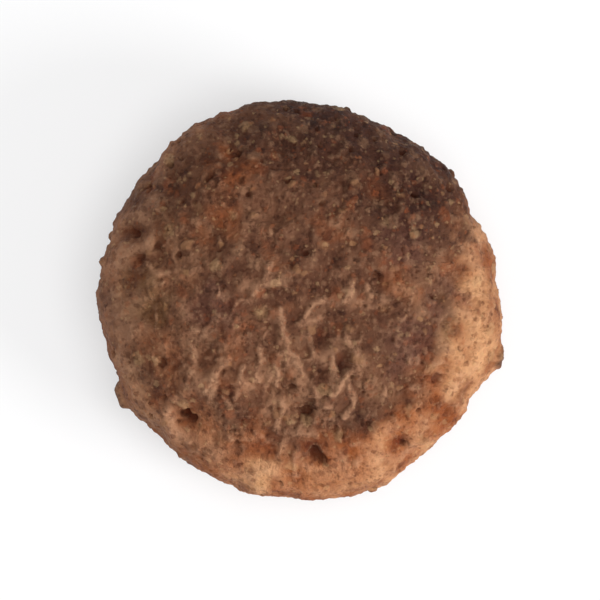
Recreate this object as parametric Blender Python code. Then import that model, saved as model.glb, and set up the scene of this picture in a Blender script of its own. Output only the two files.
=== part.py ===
"""One piece of dry pet food: a round pellet of baked dough, puffed between two cut faces.

Metres, +Z up. The pellet lies on one cut face, with the other one, which is the darker, on top.
The origin is on the flat spot under it, at the middle of its outline.
"""

import math
import random

import bmesh
import bpy
from mathutils import Vector, noise

# Overall form
DIAMETER = 0.0119  # mean width of the outline
THICKNESS = 0.0051  # from the flat spot to the crown, before the skin is made uneven
TOP_CROWN = 0.00055  # how far puffing has domed the top face
UNDER_CROWN = 0.00045  # the same under the pellet
SQUARENESS = 2.5  # exponent of the section: 2 is an ellipse, more has a fuller side wall
FOOT_DIAMETER = 0.0062  # the flat spot that the pellet rests on

# The knife cuts the moving rope of dough at a slant, so the top face sits off the middle
TOP_SHIFT = Vector((-0.00026, 0.00050, 0.0))

# Outline seen from above, as gentle bulges and flats round it: angle, half width, height
OUTLINE_BULGES = (
    (math.radians(70), math.radians(30), -0.00020),
    (math.radians(122), math.radians(18), 0.00010),
    (math.radians(200), math.radians(18), -0.00010),
    (math.radians(234), math.radians(20), -0.00010),
    (math.radians(289), math.radians(20), 0.00011),
    (math.radians(310), math.radians(17), -0.00020),
    (math.radians(350), math.radians(25), 0.00022),
)

# Uneven puffing: wavelength and height of the lumps, of the puffs on them, and of the finest knobs
LUMP_LENGTH = 0.0040
LUMP_HEIGHT = 0.00022
PUFF_LENGTH = 0.0018
PUFF_HEIGHT = 0.00016
KNOB_LENGTH = 0.0012
KNOB_HEIGHT = 0.00034
SIDE_SHARE = 0.40  # the die has smoothed the side wall, so this much of it all is left there

# Dimple left in the top face as the pellet cools: x, y, radius, depth
DIMPLE = (0.0008, -0.0003, 0.0024, 0.00018)

# Burst bubbles, spread evenly over the whole skin
PORE_COUNT = 90
PORE_RADIUS = (0.00045, 0.00070)
PORE_DEPTH = 0.00015
PORE_JITTER = math.radians(30)  # how far a bubble may lie off its even place
PORE_SEED = 11

# Larger burst bubbles on the face and shoulder that show from above: x, y, radius, depth
LARGE_PORES = (
    (0.00050, -0.00467, 0.00056, 0.00032),
    (0.00016, -0.00330, 0.00052, 0.00028),
    (-0.00332, -0.00344, 0.00054, 0.00030),
    (0.00412, -0.00235, 0.00050, 0.00024),
    (0.00303, -0.00419, 0.00048, 0.00022),
    (-0.00454, 0.00338, 0.00048, 0.00022),
    (-0.00488, 0.00202, 0.00048, 0.00022),
    (-0.00482, 0.00127, 0.00046, 0.00020),
    (0.00060, -0.00095, 0.00050, 0.00018),
    (0.00130, -0.00200, 0.00048, 0.00018),
    (-0.00100, -0.00260, 0.00048, 0.00018),
)

# Folds of the top skin stand up and splits go down: height, then the points of each, seen from above
CREASE_WIDTH = 0.00090
CREASES = (
    (0.00012, ((-0.00062, -0.00030), (-0.00036, -0.00140), (0.00003, -0.00207), (0.00080, -0.00320))),
    (0.00009, ((-0.00335, -0.00245), (-0.00310, -0.00195), (-0.00320, -0.00145))),
    (0.00009, ((-0.00280, -0.00275), (-0.00255, -0.00210), (-0.00220, -0.00175))),
    (0.00009, ((0.00095, -0.00290), (0.00125, -0.00240), (0.00160, -0.00205))),
    (-0.00011, ((-0.00310, 0.00190), (-0.00180, 0.00270), (-0.00070, 0.00255))),
    (-0.00009, ((0.00190, 0.00020), (0.00240, -0.00050), (0.00340, -0.00080))),
)

# Crumbs of dough stuck to the side: angle round it, height above the widest level, radius, how far out
CRUMBS = (
    (math.radians(208), -0.00020, 0.00062, 0.00024),
    (math.radians(343), -0.00030, 0.00085, 0.00024),
    (math.radians(14), -0.00010, 0.00075, 0.00016),
    (math.radians(152), -0.00070, 0.00060, 0.00014),
)

FACE_CELLS = 39  # quads across each cut face
SIDE_CELLS = 19  # quads up the side wall

BAKED_BROWN = (0.175, 0.072, 0.035, 1.0)
ROUGHNESS = 0.82

FOOT_SPREAD = FOOT_DIAMETER / DIAMETER
FOOT_DROP = (1 - FOOT_SPREAD**SQUARENESS) ** (1 / SQUARENESS)
FOOT_DOME = UNDER_CROWN * (1 - FOOT_SPREAD**2)
HALF_HEIGHT = (THICKNESS - TOP_CROWN - FOOT_DOME) / (1 + FOOT_DROP)
FOOT_LEVEL = -(HALF_HEIGHT * FOOT_DROP + FOOT_DOME)
GOLDEN_ANGLE = math.pi * (3 - math.sqrt(5))
MEAN_NOISE = 0.22  # mean absolute value of Blender's noise


def clear_scene():
    for obj in list(bpy.data.objects):
        bpy.data.objects.remove(obj)


def bowl(distance, radius):
    """1 in the middle of a round hollow, falling smoothly to 0 at its edge."""
    return (1 - (distance / radius) ** 2) ** 2 if distance < radius else 0.0


def outline_radius(angle):
    """Half the pellet's width at this angle, seen from above."""
    radius = DIAMETER / 2
    for at, width, height in OUTLINE_BULGES:
        turn = (angle - at + math.pi) % math.tau - math.pi
        radius += height * bowl(abs(turn), width)
    return radius


def smooth_point(direction):
    """The point of the smooth pellet that lies this way from its middle.

    The section is a superellipse with a low dome added on each cut face.
    """
    radius = outline_radius(math.atan2(direction.y, direction.x))
    across = math.hypot(direction.x, direction.y)
    reach = (across**SQUARENESS + abs(direction.z) ** SQUARENESS) ** (-1 / SQUARENESS)
    point = direction * reach
    dome = 1 - point.x**2 - point.y**2
    crown = TOP_CROWN if direction.z > 0 else -UNDER_CROWN
    slant = TOP_SHIFT * max(0.0, point.z)
    return Vector((point.x * radius, point.y * radius, point.z * HALF_HEIGHT + dome * crown)) + slant


def add_blown_box(bm):
    """A box of even quads, blown up to a sphere of radius 1."""
    bmesh.ops.create_cube(bm, size=2.0)
    for axis, cells in enumerate((FACE_CELLS, FACE_CELLS, SIDE_CELLS)):
        along = [edge for edge in bm.edges if edge.verts[0].co[axis] != edge.verts[1].co[axis]]
        bmesh.ops.subdivide_edges(bm, edges=along, cuts=cells - 1, use_grid_fill=True)
    for vertex in bm.verts:
        vertex.co = Vector([math.tan(side * math.pi / 4) for side in vertex.co]).normalized()


def puffing(point, sidewall):
    """How far uneven puffing lifts the skin. Sidewall is 0 on the cut faces and 1 on the side.

    The absolute value of the noise gives round puffs with creases between them. Turned over, it
    gives knobs and ridges with hollows between them.
    """
    lumps = LUMP_HEIGHT * noise.noise(point / LUMP_LENGTH)
    puffs = PUFF_HEIGHT * (abs(noise.noise(point / PUFF_LENGTH)) - MEAN_NOISE)
    knobs = KNOB_HEIGHT * (MEAN_NOISE - abs(noise.noise(point / KNOB_LENGTH)))
    return (lumps + puffs + knobs) * (1 - (1 - SIDE_SHARE) * sidewall)


def even_pores(dice):
    """Bubbles set out along a spiral from crown to foot, so that they cover the skin evenly."""
    pores = []
    for index in range(PORE_COUNT):
        rise = 1 - 2 * (index + 0.5) / PORE_COUNT
        level = math.sqrt(1 - rise * rise)
        angle = index * GOLDEN_ANGLE + dice.uniform(-PORE_JITTER, PORE_JITTER)
        centre = smooth_point(Vector((level * math.cos(angle), level * math.sin(angle), rise)))
        radius = dice.uniform(*PORE_RADIUS)
        pores.append((centre, radius, -PORE_DEPTH * radius / PORE_RADIUS[1]))
    return pores


def skin_over(skin, x, y):
    """The point of the upper skin that lies nearest to x, y when seen from above."""
    upper = [point for point in skin if point.z > 0]
    return min(upper, key=lambda point: math.hypot(point.x - x, point.y - y))


def skin_beside(skin, angle, height):
    """The point of the skin nearest to the outline at this angle and height."""
    radius = outline_radius(angle)
    target = Vector((radius * math.cos(angle), radius * math.sin(angle), height))
    return min(skin, key=lambda point: (point - target).length)


def round_features(skin):
    """Every hollow and crumb as centre, radius and height. The height of a hollow is below 0."""
    spots = even_pores(random.Random(PORE_SEED))
    for x, y, radius, depth in LARGE_PORES + (DIMPLE,):
        spots.append((skin_over(skin, x, y), radius, -depth))
    for angle, height, radius, out in CRUMBS:
        spots.append((skin_beside(skin, angle, height), radius, out))
    return spots


def distance_to_run(place, start, end):
    """Distance from a place to a straight run between two points, seen from above."""
    run = end - start
    share = (place - start).dot(run) / run.length_squared
    return (place - start - run * min(1.0, max(0.0, share))).length


def creasing(place):
    """How far the folds and splits move the top skin at this place, seen from above."""
    total = 0.0
    for height, corners in CREASES:
        corners = [Vector(corner) for corner in corners]
        distance = min(distance_to_run(place, start, end) for start, end in zip(corners, corners[1:]))
        total += height * bowl(distance, CREASE_WIDTH / 2)
    return total


def shape_skin(bm):
    """Turns the ball into the smooth pellet, then lifts and sinks its skin along the normals."""
    sidewall = [1 - abs(vertex.co.z) for vertex in bm.verts]
    for vertex in bm.verts:
        vertex.co = smooth_point(vertex.co)
    bm.normal_update()
    skin = [vertex.co.copy() for vertex in bm.verts]
    spots = round_features(skin)
    for vertex, point, share in zip(bm.verts, skin, sidewall):
        height = puffing(point, share)
        height += sum(rise * bowl((point - centre).length, radius) for centre, radius, rise in spots)
        if point.z > 0:
            height += creasing(point.to_2d())
        vertex.co = point + vertex.normal * height
    bmesh.ops.smooth_vert(bm, verts=bm.verts, factor=0.5, use_axis_x=True, use_axis_y=True, use_axis_z=True)


def flatten_foot(bm):
    """Presses the lowest skin flat, and puts the origin on that flat, at the middle of the outline."""
    for vertex in bm.verts:
        vertex.co.z = max(vertex.co.z, FOOT_LEVEL)
    xs = [vertex.co.x for vertex in bm.verts]
    ys = [vertex.co.y for vertex in bm.verts]
    foot_centre = Vector(((min(xs) + max(xs)) / 2, (min(ys) + max(ys)) / 2, FOOT_LEVEL))
    bmesh.ops.translate(bm, verts=bm.verts[:], vec=-foot_centre)


def baked_dough():
    material = bpy.data.materials.new("baked_dough")
    material.use_nodes = True
    shader = material.node_tree.nodes["Principled BSDF"]
    shader.inputs["Base Color"].default_value = BAKED_BROWN
    shader.inputs["Roughness"].default_value = ROUGHNESS
    shader.inputs["Metallic"].default_value = 0.0
    return material


def make_kibble(collection):
    bm = bmesh.new()
    add_blown_box(bm)
    shape_skin(bm)
    flatten_foot(bm)
    bmesh.ops.recalc_face_normals(bm, faces=bm.faces[:])
    mesh = bpy.data.meshes.new("kibble")
    bm.to_mesh(mesh)
    bm.free()
    mesh.shade_smooth()
    mesh.materials.append(baked_dough())
    collection.objects.link(bpy.data.objects.new("kibble", mesh))


def main():
    clear_scene()
    collection = bpy.data.collections.new("dry_pet_food_kibble")
    bpy.context.scene.collection.children.link(collection)
    make_kibble(collection)


main()
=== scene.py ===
"""The looks of one dry pet food kibble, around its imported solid.

Metres, +Z up. The kibble lies on one cut face. The camera looks straight down, as in the photograph,
with +X to the right and +Y up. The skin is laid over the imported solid, then carries the fine relief
of milled meal, cut bubbles and baked-on crumbs that gives the piece its look.
"""

import math
import random

import bmesh
import bpy
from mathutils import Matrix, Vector, kdtree, noise
from mathutils.bvhtree import BVHTree


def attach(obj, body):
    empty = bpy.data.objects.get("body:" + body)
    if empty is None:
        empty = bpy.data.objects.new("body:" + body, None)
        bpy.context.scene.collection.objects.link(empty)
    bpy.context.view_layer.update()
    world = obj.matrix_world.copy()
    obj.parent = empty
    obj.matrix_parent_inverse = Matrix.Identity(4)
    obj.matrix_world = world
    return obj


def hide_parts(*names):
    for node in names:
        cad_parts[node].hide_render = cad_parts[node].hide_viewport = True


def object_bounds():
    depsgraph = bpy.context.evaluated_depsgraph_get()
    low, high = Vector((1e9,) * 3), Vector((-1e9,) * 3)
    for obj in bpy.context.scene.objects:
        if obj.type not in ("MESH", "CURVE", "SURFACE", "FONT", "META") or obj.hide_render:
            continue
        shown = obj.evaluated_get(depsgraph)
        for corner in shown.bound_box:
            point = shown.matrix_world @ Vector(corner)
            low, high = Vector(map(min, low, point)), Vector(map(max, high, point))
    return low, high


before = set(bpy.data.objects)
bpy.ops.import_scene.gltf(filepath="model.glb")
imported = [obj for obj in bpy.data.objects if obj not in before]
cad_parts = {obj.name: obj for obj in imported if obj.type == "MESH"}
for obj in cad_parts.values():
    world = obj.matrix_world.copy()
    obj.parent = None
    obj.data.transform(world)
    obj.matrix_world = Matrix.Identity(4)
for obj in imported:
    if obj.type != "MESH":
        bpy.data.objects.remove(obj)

MM = 0.001
CAD_LOW, CAD_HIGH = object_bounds()
WIDTH = CAD_HIGH.x - CAD_LOW.x
HEIGHT = CAD_HIGH.z - CAD_LOW.z
MIDDLE = Vector((0.0, 0.0, HEIGHT * 0.46))
SEED = 5

# How finely the skin is divided, and how often it is smoothed: to lose the solid's facets, and to
# leave only the broad form that hollows and crests are measured from
FACE_CELLS = 176
SIDE_CELLS = 52
FACET_ROUNDS = 14
FORM_ROUNDS = 80

# Everything from here to the camera is in millimetres

# The dark cut face on top
# Set towards the top, the cut face's dark colour also reaches over the upper shoulder, where it serves as painted
# shade along the top edge
CAP_CENTRE = Vector((-0.30, 0.65))
CAP_RADIUS = 5.15
CAP_FADE = 0.32

# Painted light: the side wall is painted palest towards this angle, as if lit from there, and darkest opposite to
# it, as if in shade
LIT_SIDE = Vector((math.cos(math.radians(-50)), math.sin(math.radians(-50))))

# Blotches where the crust is coloured more, less or otherwise, seen from above: x, y, radius. Some stand in for
# light and shade, as noted
BLOTCHES = {
    # Painted shade: the scorch blotches darken the top edge and the upper right, partly burnt crust and partly
    # shade painted in
    "scorch_and_shade": ((0.9, 6.1, 3.7), (3.4, 3.8, 2.9)),
    "rust": (
        (-2.3, 2.4, 1.0),
        (-2.0, 3.8, 0.9),
        (-4.2, -1.3, 0.9),
        (-4.0, -2.1, 0.8),
        (-3.2, -3.9, 0.8),
        (-1.3, -4.6, 1.3),
        (1.2, -4.6, 1.4),
        (3.0, -4.0, 1.2),
        (4.1, -2.4, 0.9),
        (3.1, 0.3, 0.8),
        (0.1, -5.4, 1.5),
        (-2.6, -5.1, 0.8),
        (4.4, -3.6, 0.7),
    ),
    # Painted sheen: the plum blotches, a greyish plum tint standing in for a reflection on the top face
    "plum_sheen": ((3.3, 1.5, 1.2), (3.3, -1.4, 1.2), (-2.5, -0.2, 1.2), (4.2, -0.1, 0.8)),
    "gold": ((5.1, -1.4, 1.3), (5.3, 0.2, 1.0), (-1.3, -5.2, 0.8), (4.7, -2.4, 0.7), (-4.6, 0.1, 0.9)),
    # The two large tan blotches on the left are partly painted light, lifting the part of the top face that the
    # side lamp leaves darker; the rest are lighter crust
    "tan": ((-3.7, -1.5, 2.3), (-4.0, 1.2, 1.7), (-2.8, -4.3, 1.3), (2.6, -2.4, 1.3), (-0.4, -2.2, 1.6), (3.8, 0.2, 1.4)),
}

# Where the side wall is a little fuller than the solid: angle, half width, height
SIDE_BULGE = (math.radians(312), math.radians(26), 0.15)

# Small knobs on the puffed crust: size, height
KNOB_SIZE = 0.55
KNOB_RELIEF = 0.075

# Upright wrinkles on the side wall: size, height
WRINKLE_SIZE = 0.50
WRINKLE_RELIEF = 0.055

# Bubbles that the knife cut open: spacing, least and greatest radius, depth
WIDE_BUBBLES = (1.05, 0.10, 0.38, 0.130)
SMALL_BUBBLES = (0.50, 0.04, 0.16, 0.060)
BUBBLE_WARP = 0.20
BUBBLE_WARP_SIZE = 0.45

# Thin raised threads of dough, broken off here and there: size, width as a share, height
THREAD_SIZE = 0.85
THREAD_WIDTH = 0.22
THREAD_RELIEF = 0.090

# Rough finish of baked meal: size, height
MEAL_SIZE = 0.26
MEAL_RELIEF = 0.095

# Pinholes: number, radii, depth for their radius
PINHOLE_COUNT = 220
PINHOLE_RADII = (0.06, 0.16)
PINHOLE_DEPTH = 1.1

# Larger holes in the top face and its edge, seen from above: x, y, radius
LARGE_HOLES = (
    (0.50, -4.67, 0.32),
    (0.16, -3.30, 0.25),
    (-3.32, -3.44, 0.28),
    (4.12, -2.35, 0.24),
    (3.03, -4.19, 0.17),
    (-4.54, 3.38, 0.18),
    (-4.88, 2.02, 0.22),
    (-4.82, 1.27, 0.20),
    (-4.27, 1.61, 0.18),
    (-3.93, 4.07, 0.20),
    (-4.10, -1.90, 0.20),
)

# Two burnt crumbs that stick out of the side: place, radius, height
BURNT_CRUMBS = (
    (Vector((-5.30, -2.85, 2.0)), 0.45, 0.15),
    (Vector((5.95, -1.75, 2.2)), 0.38, 0.13),
)

# Crumbs baked onto the skin, and flat flecks of bran: number, radii, height for their radius
CRUMB_COUNT = 140
CRUMB_RADII = (0.09, 0.24)
CRUMB_HEIGHT = 0.45
FLECK_COUNT = 160
FLECK_RADII = (0.06, 0.16)
FLECK_HEIGHT = 0.12

# Pale folds of skin on the top face, seen from above, and their width
FOLDS = (
    ((-0.62, -0.30), (-0.55, -0.75), (-0.36, -1.40), (0.03, -2.07), (0.44, -2.76), (0.80, -3.20)),
    ((-0.36, -1.40), (-0.75, -1.95), (-0.70, -2.55)),
    ((-3.35, -2.45), (-3.10, -1.95), (-3.20, -1.45)),
    ((-2.80, -2.75), (-2.55, -2.10), (-2.20, -1.75)),
    ((0.95, -2.90), (1.25, -2.40), (1.60, -2.05)),
    ((-1.35, 0.20), (-1.05, 0.55), (-0.95, 1.00)),
    ((-4.55, 1.05), (-4.30, 0.80), (-3.95, 0.85)),
    ((0.10, -0.55), (0.40, -0.10), (0.95, 0.05)),
    ((-2.47, -2.04), (-2.62, -2.86)),
    ((-1.72, -2.02), (-1.92, -2.92)),
    ((-1.19, -1.38), (-1.22, -2.38)),
    ((1.50, -2.45), (1.60, -3.02), (1.38, -3.48)),
    ((0.96, -1.70), (1.08, -2.36)),
    ((1.52, 0.52), (1.38, -0.05)),
    ((1.98, 0.42), (2.16, -0.06)),
    ((-0.47, -3.05), (-0.72, -3.90)),
    ((1.42, -1.18), (1.72, -1.68)),
)
FOLD_WIDTH = 0.32
FOLD_RUNS = [(Vector(start), Vector(end)) for corners in FOLDS for start, end in zip(corners, corners[1:])]

# Camera
CAMERA_HEIGHT = 0.40
SENSOR = 36.0
KIBBLE_SHARE = 0.68  # of the picture's width


def add_blown_box(bm):
    """A box of even quads, blown up to a sphere of radius 1."""
    bmesh.ops.create_cube(bm, size=2.0)
    for axis, cells in enumerate((FACE_CELLS, FACE_CELLS, SIDE_CELLS)):
        along = [edge for edge in bm.edges if edge.verts[0].co[axis] != edge.verts[1].co[axis]]
        bmesh.ops.subdivide_edges(bm, edges=along, cuts=cells - 1, use_grid_fill=True)
    for vertex in bm.verts:
        vertex.co = Vector([math.tan(side * math.pi / 4) for side in vertex.co]).normalized()


def smooth(bm, rounds):
    for _ in range(rounds):
        bmesh.ops.smooth_vert(bm, verts=bm.verts, factor=0.5, use_axis_x=True, use_axis_y=True, use_axis_z=True)


def lay_on_solid(bm, solid):
    """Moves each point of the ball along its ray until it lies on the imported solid."""
    mesh = solid.data
    corners = [vertex.co.copy() for vertex in mesh.vertices]
    faces = [tuple(face.vertices) for face in mesh.polygons]
    tree = BVHTree.FromPolygons(corners, faces)
    flatness = Vector((1.0, 1.0, HEIGHT / WIDTH))
    for vertex in bm.verts:
        ray = (vertex.co * flatness).normalized()
        hit, _, _, _ = tree.ray_cast(MIDDLE + ray * WIDTH, -ray)
        vertex.co = hit
    smooth(bm, FACET_ROUNDS)


def smoothstep(low, high, value):
    share = min(1.0, max(0.0, (value - low) / (high - low)))
    return share * share * (3 - 2 * share)


def cap_share(spot):
    """1 on the dark cut face on top and 0 on the side and underneath."""
    wobble = 0.45 * noise.fractal(spot / 1.5, 0.6, 2.0, 5)
    distance = (spot.to_2d() - CAP_CENTRE).length + wobble
    inside = 1 - smoothstep(CAP_RADIUS - CAP_FADE, CAP_RADIUS + CAP_FADE, distance)
    return inside * smoothstep(2.0, 3.0, spot.z)


def paleness(spot):
    """1 where the side wall is painted lightest, as if lit, and 0 where it is painted darkest, as if in shade."""
    turn = spot.to_2d().normalized().dot(LIT_SIDE)
    return smoothstep(-0.8, 1.0, turn + 0.35 * noise.noise(spot / 2.0))


def blotch(spot, places):
    """1 in the middle of the nearest of these places, falling to 0 at its ragged edge."""
    place = spot.to_2d() + 0.7 * noise.noise_vector(spot / 0.8).to_2d()
    shares = (1 - smoothstep(0.3, 1.0, (place - Vector((x, y))).length / radius) for x, y, radius in places)
    return max(shares) * smoothstep(0.8, 2.4, spot.z)


def side_bulge(spot):
    at, width, height = SIDE_BULGE
    angle = math.atan2(spot.y, spot.x) % math.tau
    return height * (1 - smoothstep(0.0, width, abs(angle - at))) * smoothstep(3.0, 5.6, spot.to_2d().length)


def openness(spot):
    """How open the crumb is: most on the lower and left part of the top face, least at its top."""
    below = 1 - smoothstep(-1.0, 2.6, spot.y + 0.9 * noise.noise(spot / 1.6))
    beside = smoothstep(2.8, 4.6, -spot.x)
    return 0.30 + 0.70 * max(below, 0.8 * beside)


def bubbles(spot, kind):
    """How far this point lies inside a bubble that was cut open."""
    spacing, least, greatest, _ = kind
    warped = spot + BUBBLE_WARP * noise.noise_vector(spot / BUBBLE_WARP_SIZE)
    distances, centres = noise.voronoi(warped / spacing)
    share = 0.5 + 0.5 * noise.cell(centres[0] * 9.7)
    radius = (least + (greatest - least) * share) / spacing
    return (1 - smoothstep(0.3 * radius, radius, distances[0])) * (0.3 + 0.7 * share)


def threads(spot):
    """1 on the crest of a thin thread of dough, 0 beside it and where the thread is broken."""
    warped = spot / THREAD_SIZE + 0.3 * noise.noise_vector(spot / 0.5)
    crest = 1 - smoothstep(0.0, THREAD_WIDTH, abs(noise.noise(warped)) + 0.06 * noise.noise(spot / 0.12))
    whole = smoothstep(-0.15, 0.15, noise.noise(spot / 0.9 + Vector((7.0, 3.0, 5.0))))
    return crest * whole * smoothstep(-0.35, 0.15, noise.noise(spot / 0.4))


def knobs(spot):
    return KNOB_RELIEF * (0.5 - noise.turbulence(spot / KNOB_SIZE, 2, True, amplitude_scale=0.5))


def wrinkles(spot):
    return WRINKLE_RELIEF * noise.fractal(Vector((spot.x, spot.y, spot.z * 0.2)) / WRINKLE_SIZE, 0.7, 2.0, 3)


def meal(spot):
    return MEAL_RELIEF * (noise.turbulence(spot / MEAL_SIZE, 3, True, amplitude_scale=0.6) - 0.4)


def distance_to_run(place, start, end):
    """Distance from a place to a straight run between two points, seen from above."""
    run = end - start
    share = (place - start).dot(run) / run.length_squared
    return (place - start - run * min(1.0, max(0.0, share))).length


def fold_share(spot):
    """1 on the crest of the nearest fold in the top face, falling to 0 at its edge."""
    if spot.z < 3:
        return 0.0
    place = spot.to_2d() + 0.12 * noise.noise_vector(spot / 0.4).to_2d()
    distance = min(distance_to_run(place, start, end) for start, end in FOLD_RUNS)
    return (1 - smoothstep(0.0, FOLD_WIDTH / 2, distance)) * (0.8 + 0.6 * noise.noise(spot / 0.6))


class Skin:
    """The skin's points in millimetres, with their heights and the marks that the material reads."""

    MARKS = (
        "cap", "pale", "scorch_and_shade", "rust", "plum_sheen", "gold", "tan",
        "open", "form", "thread", "pit", "knob", "relief", "crumb", "fleck",
    )

    def __init__(self, bm, dice):
        self.dice = dice
        self.spots = [vertex.co / MM for vertex in bm.verts]
        self.normals = [vertex.normal.copy() for vertex in bm.verts]
        self.heights = [0.0] * len(self.spots)
        self.marks = {name: [0.0] * len(self.spots) for name in self.MARKS}
        self.tree = kdtree.KDTree(len(self.spots))
        for index, spot in enumerate(self.spots):
            self.tree.insert(spot, index)
        self.tree.balance()

    def set_marks(self, index, **values):
        for name, value in values.items():
            self.marks[name][index] = value

    def measure_form(self, bm):
        """Marks how far the puffed crust stands above its broad form.

        Smoothing also sinks a round skin. A second, equal lot of it sinks the broad form as far
        again, which is taken off.
        """
        smooth(bm, FORM_ROUNDS)
        broad = [vertex.co / MM for vertex in bm.verts]
        smooth(bm, FORM_ROUNDS)
        for index, vertex in enumerate(bm.verts):
            above = self.spots[index] - broad[index]
            sunk = broad[index] - vertex.co / MM
            self.marks["form"][index] = (above - sunk).dot(self.normals[index])

    def bake(self):
        """The relief that covers the whole skin. The side wall is smoother than the cut faces."""
        for index, (spot, normal) in enumerate(zip(self.spots, self.normals)):
            side = 1 - smoothstep(0.35, 0.85, abs(normal.z))
            open_share = openness(spot) * (1 - 0.5 * side)
            in_wide = bubbles(spot, WIDE_BUBBLES) * open_share
            in_small = bubbles(spot, SMALL_BUBBLES) * open_share
            thread = max(0.65 * threads(spot) * open_share, fold_share(spot))
            finish = meal(spot) * (1 - 0.45 * side)
            knob = knobs(spot) * (1 - 0.45 * side)
            height = side_bulge(spot) + wrinkles(spot) * side + finish + knob
            height += THREAD_RELIEF * thread - WIDE_BUBBLES[3] * in_wide - SMALL_BUBBLES[3] * in_small
            self.heights[index] = height
            self.set_marks(
                index,
                cap=cap_share(spot),
                pale=paleness(spot),
                open=open_share,
                thread=thread,
                pit=0.6 * max(in_wide, in_small),
                knob=knob / KNOB_RELIEF * (0.5 + 0.5 * open_share),
                relief=finish / MEAL_RELIEF,
                **{name: blotch(spot, places) for name, places in BLOTCHES.items()},
            )

    def stamp(self, centre, radius, raggedness, height, mark):
        """A round bump or hollow with a ragged edge, which also leaves a mark for the material."""
        for place, index, distance in self.tree.find_range(centre, radius * 1.4):
            edge = distance / radius + raggedness * noise.noise(place / (radius * 0.9))
            shape = 1 - smoothstep(0.35, 1.0, edge)
            self.heights[index] += height * shape
            self.marks[mark][index] = max(self.marks[mark][index], shape)

    def punch_large_holes(self):
        for x, y, radius in LARGE_HOLES:
            upper = (index for index, spot in enumerate(self.spots) if spot.z > 2.5)
            nearest = min(upper, key=lambda index: math.hypot(self.spots[index].x - x, self.spots[index].y - y))
            self.stamp(self.spots[nearest], radius, 0.6, -0.75 * radius, "pit")

    def add_burnt_crumbs(self):
        for place, radius, height in BURNT_CRUMBS:
            self.stamp(self.tree.find(place)[0], radius, 0.6, height, "scorch_and_shade")

    def scatter(self, count, radii, raggedness, height_share, mark):
        for _ in range(count):
            centre = self.spots[self.dice.randrange(len(self.spots))]
            radius = radii[0] + (radii[1] - radii[0]) * self.dice.random() ** 2
            self.stamp(centre, radius, raggedness, height_share * radius, mark)

    def write(self, bm):
        for vertex, spot, normal, height in zip(bm.verts, self.spots, self.normals, self.heights):
            place = (spot + normal * height) * MM
            vertex.co = (place.x, place.y, max(0.0, place.z))


def build_skin():
    bm = bmesh.new()
    add_blown_box(bm)
    lay_on_solid(bm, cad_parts["kibble"])
    bm.normal_update()
    skin = Skin(bm, random.Random(SEED))
    skin.measure_form(bm)
    skin.bake()
    skin.punch_large_holes()
    skin.add_burnt_crumbs()
    skin.scatter(PINHOLE_COUNT, PINHOLE_RADII, 0.4, -PINHOLE_DEPTH, "pit")
    skin.scatter(CRUMB_COUNT, CRUMB_RADII, 0.7, CRUMB_HEIGHT, "crumb")
    skin.scatter(FLECK_COUNT, FLECK_RADII, 0.7, FLECK_HEIGHT, "fleck")
    skin.write(bm)
    mesh = bpy.data.meshes.new("kibble_skin")
    bm.to_mesh(mesh)
    bm.free()
    for name, values in skin.marks.items():
        mesh.attributes.new(name, "FLOAT", "POINT").data.foreach_set("value", values)
    mesh.shade_smooth()
    piece = bpy.data.objects.new("kibble_skin", mesh)
    bpy.context.scene.collection.objects.link(piece)
    return piece


def rgb(red, green, blue):
    """A colour given as the screen shows it, 0 to 255, as the linear values that Blender takes."""
    def linear(value):
        value /= 255
        return value / 12.92 if value <= 0.04045 else ((value + 0.055) / 1.055) ** 2.4
    return (linear(red), linear(green), linear(blue), 1.0)


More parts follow.
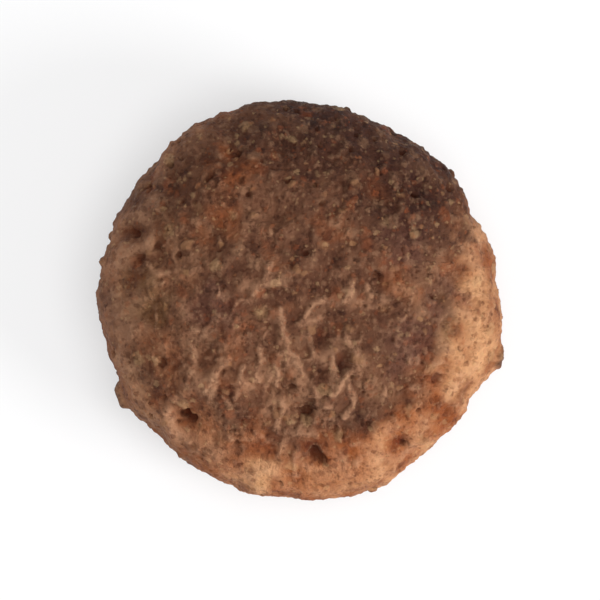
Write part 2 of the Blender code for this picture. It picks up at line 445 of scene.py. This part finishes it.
class Nodes:
    """Adds shader nodes to a tree with one short call each."""

    def __init__(self, tree):
        self.tree = tree

    def add(self, kind, **settings):
        node = self.tree.nodes.new(kind)
        for name, value in settings.items():
            setattr(node, name, value)
        return node

    def feed(self, socket, value):
        if isinstance(value, bpy.types.NodeSocket):
            self.tree.links.new(value, socket)
        else:
            socket.default_value = value

    def attribute(self, name):
        return self.add("ShaderNodeAttribute", attribute_name=name).outputs["Fac"]

    def place(self):
        """Where this point of the object is, in millimetres."""
        node = self.add("ShaderNodeVectorMath", operation="SCALE")
        self.feed(node.inputs[0], self.add("ShaderNodeTexCoord").outputs["Object"])
        node.inputs["Scale"].default_value = 1 / MM
        return node.outputs[0]

    def texture(self, kind, place, size, **values):
        node = self.add(kind)
        self.feed(node.inputs["Vector"], place)
        node.inputs["Scale"].default_value = 1 / size
        for name, value in values.items():
            node.inputs[name].default_value = value
        return node

    def noise(self, size, detail=3.0, roughness=0.55):
        """Noise of this size in millimetres."""
        return self.texture("ShaderNodeTexNoise", self.place(), size, Detail=detail, Roughness=roughness).outputs[0]

    def grains(self, size):
        """Grains of meal with ragged edges: how much of one this is, and its own random number."""
        shake = self.texture("ShaderNodeTexNoise", self.place(), size * 0.7, Detail=2.0).outputs["Color"]
        shift = self.add("ShaderNodeVectorMath", operation="MULTIPLY_ADD")
        self.feed(shift.inputs[0], shake)
        shift.inputs[1].default_value = (size * 0.9,) * 3
        self.feed(shift.inputs[2], self.place())
        cells = self.texture("ShaderNodeTexVoronoi", shift.outputs[0], size)
        split = self.add("ShaderNodeSeparateColor")
        self.feed(split.inputs[0], cells.outputs["Color"])
        return self.spread(cells.outputs["Distance"], 0.55, 0.30), split.outputs[0], split.outputs[1]

    def times(self, first, second):
        node = self.add("ShaderNodeMath", operation="MULTIPLY")
        self.feed(node.inputs[0], first)
        self.feed(node.inputs[1], second)
        return node.outputs[0]

    def plus(self, first, second):
        node = self.add("ShaderNodeMath", operation="ADD")
        self.feed(node.inputs[0], first)
        self.feed(node.inputs[1], second)
        return node.outputs[0]

    def spread(self, value, low, high, to_low=0.0, to_high=1.0):
        node = self.add("ShaderNodeMapRange", clamp=True)
        self.feed(node.inputs["Value"], value)
        node.inputs["From Min"].default_value = low
        node.inputs["From Max"].default_value = high
        node.inputs["To Min"].default_value = to_low
        node.inputs["To Max"].default_value = to_high
        return node.outputs["Result"]

    def mix(self, share, first, second, blend="MIX"):
        node = self.add("ShaderNodeMix", data_type="RGBA", blend_type=blend)
        self.feed(node.inputs["Factor"], share)
        self.feed(node.inputs[6], first)
        self.feed(node.inputs[7], second)
        return node.outputs[2]

    def seen_directly(self):
        """1 for the camera and for mirrored or refracted views, 0 for the light on the object."""
        path = self.add("ShaderNodeLightPath")
        share = path.outputs["Is Camera Ray"]
        for name in ("Is Glossy Ray", "Is Transmission Ray"):
            either = self.add("ShaderNodeMath", operation="MAXIMUM")
            self.feed(either.inputs[0], share)
            self.feed(either.inputs[1], path.outputs[name])
            share = either.outputs[0]
        return share


def speckle(nodes, colour, size, strength):
    """Lays grains of meal over a colour: most a little lighter or darker, some tan, red or nearly black."""
    share, kind, presence = nodes.grains(size)
    share = nodes.times(share, nodes.spread(presence, 0.35, 0.55))
    lighter = nodes.mix(0.26, colour, rgb(222, 172, 132))
    darker = nodes.mix(1.0, colour, rgb(150, 118, 100), "MULTIPLY")
    grain = nodes.mix(nodes.spread(kind, 0.40, 0.45), darker, lighter)
    grain = nodes.mix(nodes.spread(kind, 0.74, 0.76), grain, nodes.mix(0.45, colour, rgb(176, 92, 50)))
    grain = nodes.mix(nodes.spread(kind, 0.90, 0.92), grain, nodes.mix(0.55, colour, rgb(222, 180, 130)))
    return nodes.mix(nodes.times(share, strength), colour, grain), share


def baked_crust():
    """Brown crust: dark on the cut face, caramel on the side, with grains and flecks, and painted light and shade:
    one side lighter, hollows and pits darker, crests lighter.
    """
    material = bpy.data.materials.new("baked_crust")
    material.use_nodes = True
    nodes = Nodes(material.node_tree)
    shader = material.node_tree.nodes["Principled BSDF"]
    patches = nodes.noise(2.4, 3.0)
    warm = nodes.noise(1.3, 4.0)
    mottle = nodes.noise(0.30, 6.0, 0.75)

    face = nodes.mix(nodes.spread(patches, 0.36, 0.64), rgb(100, 62, 43), rgb(127, 85, 61))
    face = nodes.mix(nodes.spread(warm, 0.56, 0.70, 0.0, 0.7), face, rgb(138, 76, 42))
    # Painted light: the side wall's caramel, painted lighter on the lit side and darker on the shaded side
    shaded_side_colour = nodes.mix(nodes.spread(warm, 0.42, 0.60), rgb(128, 87, 65), rgb(164, 113, 82))
    pale_side = nodes.mix(nodes.spread(warm, 0.42, 0.60), rgb(224, 163, 116), rgb(158, 91, 51))
    side = nodes.mix(nodes.attribute("pale"), shaded_side_colour, pale_side)
    colour = nodes.mix(nodes.attribute("cap"), side, face)
    rusty = nodes.mix(0.65, colour, nodes.mix(nodes.attribute("cap"), rgb(168, 92, 46), rgb(150, 84, 46)))
    colour = nodes.mix(nodes.attribute("rust"), colour, rusty)
    # Tan: lighter crust, and on the left partly painted light
    colour = nodes.mix(nodes.times(nodes.attribute("tan"), 0.42), colour, rgb(164, 116, 84))
    # Painted sheen: greyish plum tint
    colour = nodes.mix(nodes.times(nodes.attribute("plum_sheen"), 0.4), colour, rgb(110, 71, 62))
    golden = nodes.mix(nodes.attribute("cap"), rgb(240, 182, 130), rgb(124, 88, 54))
    colour = nodes.mix(nodes.times(nodes.attribute("gold"), 0.6), colour, golden)
    # Scorch: burnt crust, and painted shade at the top edge and upper right
    colour = nodes.mix(nodes.times(nodes.attribute("scorch_and_shade"), 0.9), colour, rgb(60, 27, 15))

    form = nodes.attribute("form")
    open_share = nodes.attribute("open")
    # Painted shade and highlight: hollows of the crust painted darker, crests painted lighter, partly meal dust on
    # the crests
    hollow = nodes.times(nodes.spread(form, 0.005, -0.04), nodes.spread(open_share, 0.3, 1.0, 0.3, 1.0))
    crest = nodes.times(nodes.spread(form, 0.003, 0.032), nodes.spread(open_share, 0.3, 1.0, 0.1, 1.0))
    darker_tone_and_shade = nodes.mix(1.0, colour, rgb(176, 132, 108), "MULTIPLY")
    dust_and_highlight = nodes.mix(0.57, colour, rgb(222, 168, 130))
    colour = nodes.mix(hollow, colour, darker_tone_and_shade)
    colour = nodes.mix(crest, colour, dust_and_highlight)
    thread = nodes.spread(nodes.attribute("thread"), 0.12, 0.75, 0.0, 0.9)
    thread = nodes.times(thread, nodes.spread(mottle, 0.40, 0.55, 0.45, 1.0))
    colour = nodes.mix(thread, colour, dust_and_highlight)

    colour, wide_grain = speckle(nodes, colour, 0.46, 0.55)
    colour, small_grain = speckle(nodes, colour, 0.22, 0.5)
    colour, fine_grain = speckle(nodes, colour, 0.12, 0.45)
    darker_tone_and_shade = nodes.mix(1.0, colour, rgb(150, 106, 82), "MULTIPLY")
    dust_and_highlight = nodes.mix(0.42, colour, rgb(214, 162, 124))
    relief = nodes.attribute("relief")
    knob = nodes.attribute("knob")
    colour = nodes.mix(nodes.spread(mottle, 0.50, 0.36, 0.0, 0.30), colour, darker_tone_and_shade)
    # Painted shade and highlight: valleys of the meal and creases between knobs painted darker, peaks of the meal
    # painted lighter, partly dust
    colour = nodes.mix(nodes.spread(relief, 0.0, -0.6, 0.0, 0.35), colour, darker_tone_and_shade)
    colour = nodes.mix(nodes.spread(knob, 0.0, -0.35, 0.0, 0.25), colour, darker_tone_and_shade)
    colour = nodes.mix(nodes.spread(relief, 0.2, 0.9, 0.0, 0.45), colour, dust_and_highlight)
    # Painted shade: bubbles, holes and pinholes painted dark inside
    colour = nodes.mix(nodes.spread(nodes.attribute("pit"), 0.25, 0.9, 0.0, 0.62), colour, rgb(84, 37, 18))
    crumb = nodes.mix(nodes.spread(nodes.noise(0.9, 1.0), 0.45, 0.55), rgb(86, 46, 26), rgb(170, 122, 84))
    colour = nodes.mix(nodes.spread(nodes.attribute("crumb"), 0.3, 0.8, 0.0, 0.5), colour, crumb)
    bran = nodes.mix(nodes.spread(nodes.noise(0.7, 1.0), 0.40, 0.60), rgb(190, 142, 98), rgb(150, 88, 52))
    colour = nodes.mix(nodes.spread(nodes.attribute("fleck"), 0.3, 0.8, 0.0, 0.5), colour, bran)

    nodes.feed(shader.inputs["Base Color"], colour)
    nodes.feed(shader.inputs["Roughness"], nodes.spread(mottle, 0.3, 0.7, 0.50, 0.85))
    shader.inputs["Specular IOR Level"].default_value = 0.18
    height = nodes.plus(nodes.times(wide_grain, 0.5), nodes.times(small_grain, 0.35))
    height = nodes.plus(height, nodes.times(fine_grain, 0.25))
    height = nodes.plus(height, nodes.times(nodes.noise(0.13, 5.0, 0.7), 2.0))
    bump = nodes.add("ShaderNodeBump")
    bump.inputs["Strength"].default_value = 1.0
    bump.inputs["Distance"].default_value = 0.08 * MM
    nodes.feed(bump.inputs["Height"], height)
    nodes.feed(shader.inputs["Normal"], bump.outputs["Normal"])
    return material


def white_table():
    """White. Part of what the camera sees is its own white, so the shadow on it stays faint."""
    material = bpy.data.materials.new("white_table")
    material.use_nodes = True
    nodes = Nodes(material.node_tree)
    shader = material.node_tree.nodes["Principled BSDF"]
    shader.inputs["Base Color"].default_value = (0.93, 0.93, 0.935, 1.0)
    shader.inputs["Roughness"].default_value = 1.0
    shader.inputs["Specular IOR Level"].default_value = 0.0
    white = nodes.add("ShaderNodeEmission")
    white.inputs["Color"].default_value = (0.985, 0.985, 0.99, 1.0)
    share = nodes.add("ShaderNodeMath", operation="MULTIPLY")
    nodes.feed(share.inputs[0], nodes.seen_directly())
    share.inputs[1].default_value = 0.55
    either = nodes.add("ShaderNodeMixShader")
    nodes.feed(either.inputs["Fac"], share.outputs[0])
    nodes.feed(either.inputs[1], shader.outputs["BSDF"])
    nodes.feed(either.inputs[2], white.outputs["Emission"])
    nodes.feed(material.node_tree.nodes["Material Output"].inputs["Surface"], either.outputs["Shader"])
    return material


def add_floor():
    bm = bmesh.new()
    bmesh.ops.create_grid(bm, x_segments=1, y_segments=1, size=1.5)
    mesh = bpy.data.meshes.new("floor")
    bm.to_mesh(mesh)
    bm.free()
    mesh.materials.append(white_table())
    floor = bpy.data.objects.new("floor", mesh)
    floor.location.z = -0.01 * MM
    bpy.context.scene.collection.objects.link(floor)


def add_lamp(name, place, size, power):
    lamp = bpy.data.lights.new(name, "AREA")
    lamp.shape = "DISK"
    lamp.size = size
    lamp.energy = power
    holder = bpy.data.objects.new(name, lamp)
    holder.location = place
    holder.rotation_euler = (-Vector(place)).to_track_quat("-Z", "Y").to_euler()
    bpy.context.scene.collection.objects.link(holder)


def add_world():
    world = bpy.data.worlds.new("soft_room")
    world.use_nodes = True
    bpy.context.scene.world = world
    nodes = Nodes(world.node_tree)
    room = world.node_tree.nodes["Background"]
    room.inputs["Color"].default_value = (1.0, 1.0, 1.0, 1.0)
    room.inputs["Strength"].default_value = 0.45
    white = nodes.add("ShaderNodeBackground")
    white.inputs["Color"].default_value = (1.0, 1.0, 1.0, 1.0)
    either = nodes.add("ShaderNodeMixShader")
    nodes.feed(either.inputs["Fac"], nodes.seen_directly())
    nodes.feed(either.inputs[1], room.outputs["Background"])
    nodes.feed(either.inputs[2], white.outputs["Background"])
    nodes.feed(world.node_tree.nodes["World Output"].inputs["Surface"], either.outputs["Shader"])


def add_camera():
    camera = bpy.data.cameras.new("camera")
    camera.sensor_width = SENSOR
    camera.lens = SENSOR * (CAMERA_HEIGHT - HEIGHT) * KIBBLE_SHARE / WIDTH
    holder = bpy.data.objects.new("camera", camera)
    holder.location = (0.0, 0.0, CAMERA_HEIGHT)
    bpy.context.scene.collection.objects.link(holder)
    bpy.context.scene.camera = holder


skin = build_skin()
skin.data.materials.append(baked_crust())
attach(skin, "root")
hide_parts("kibble")
add_floor()
add_world()
add_lamp("key", (0.08, -0.04, 0.45), 0.30, 1.02)
add_lamp("side", (0.42, -0.18, 0.22), 0.22, 1.85)
add_camera()
bpy.context.scene.view_settings.view_transform = "Standard"
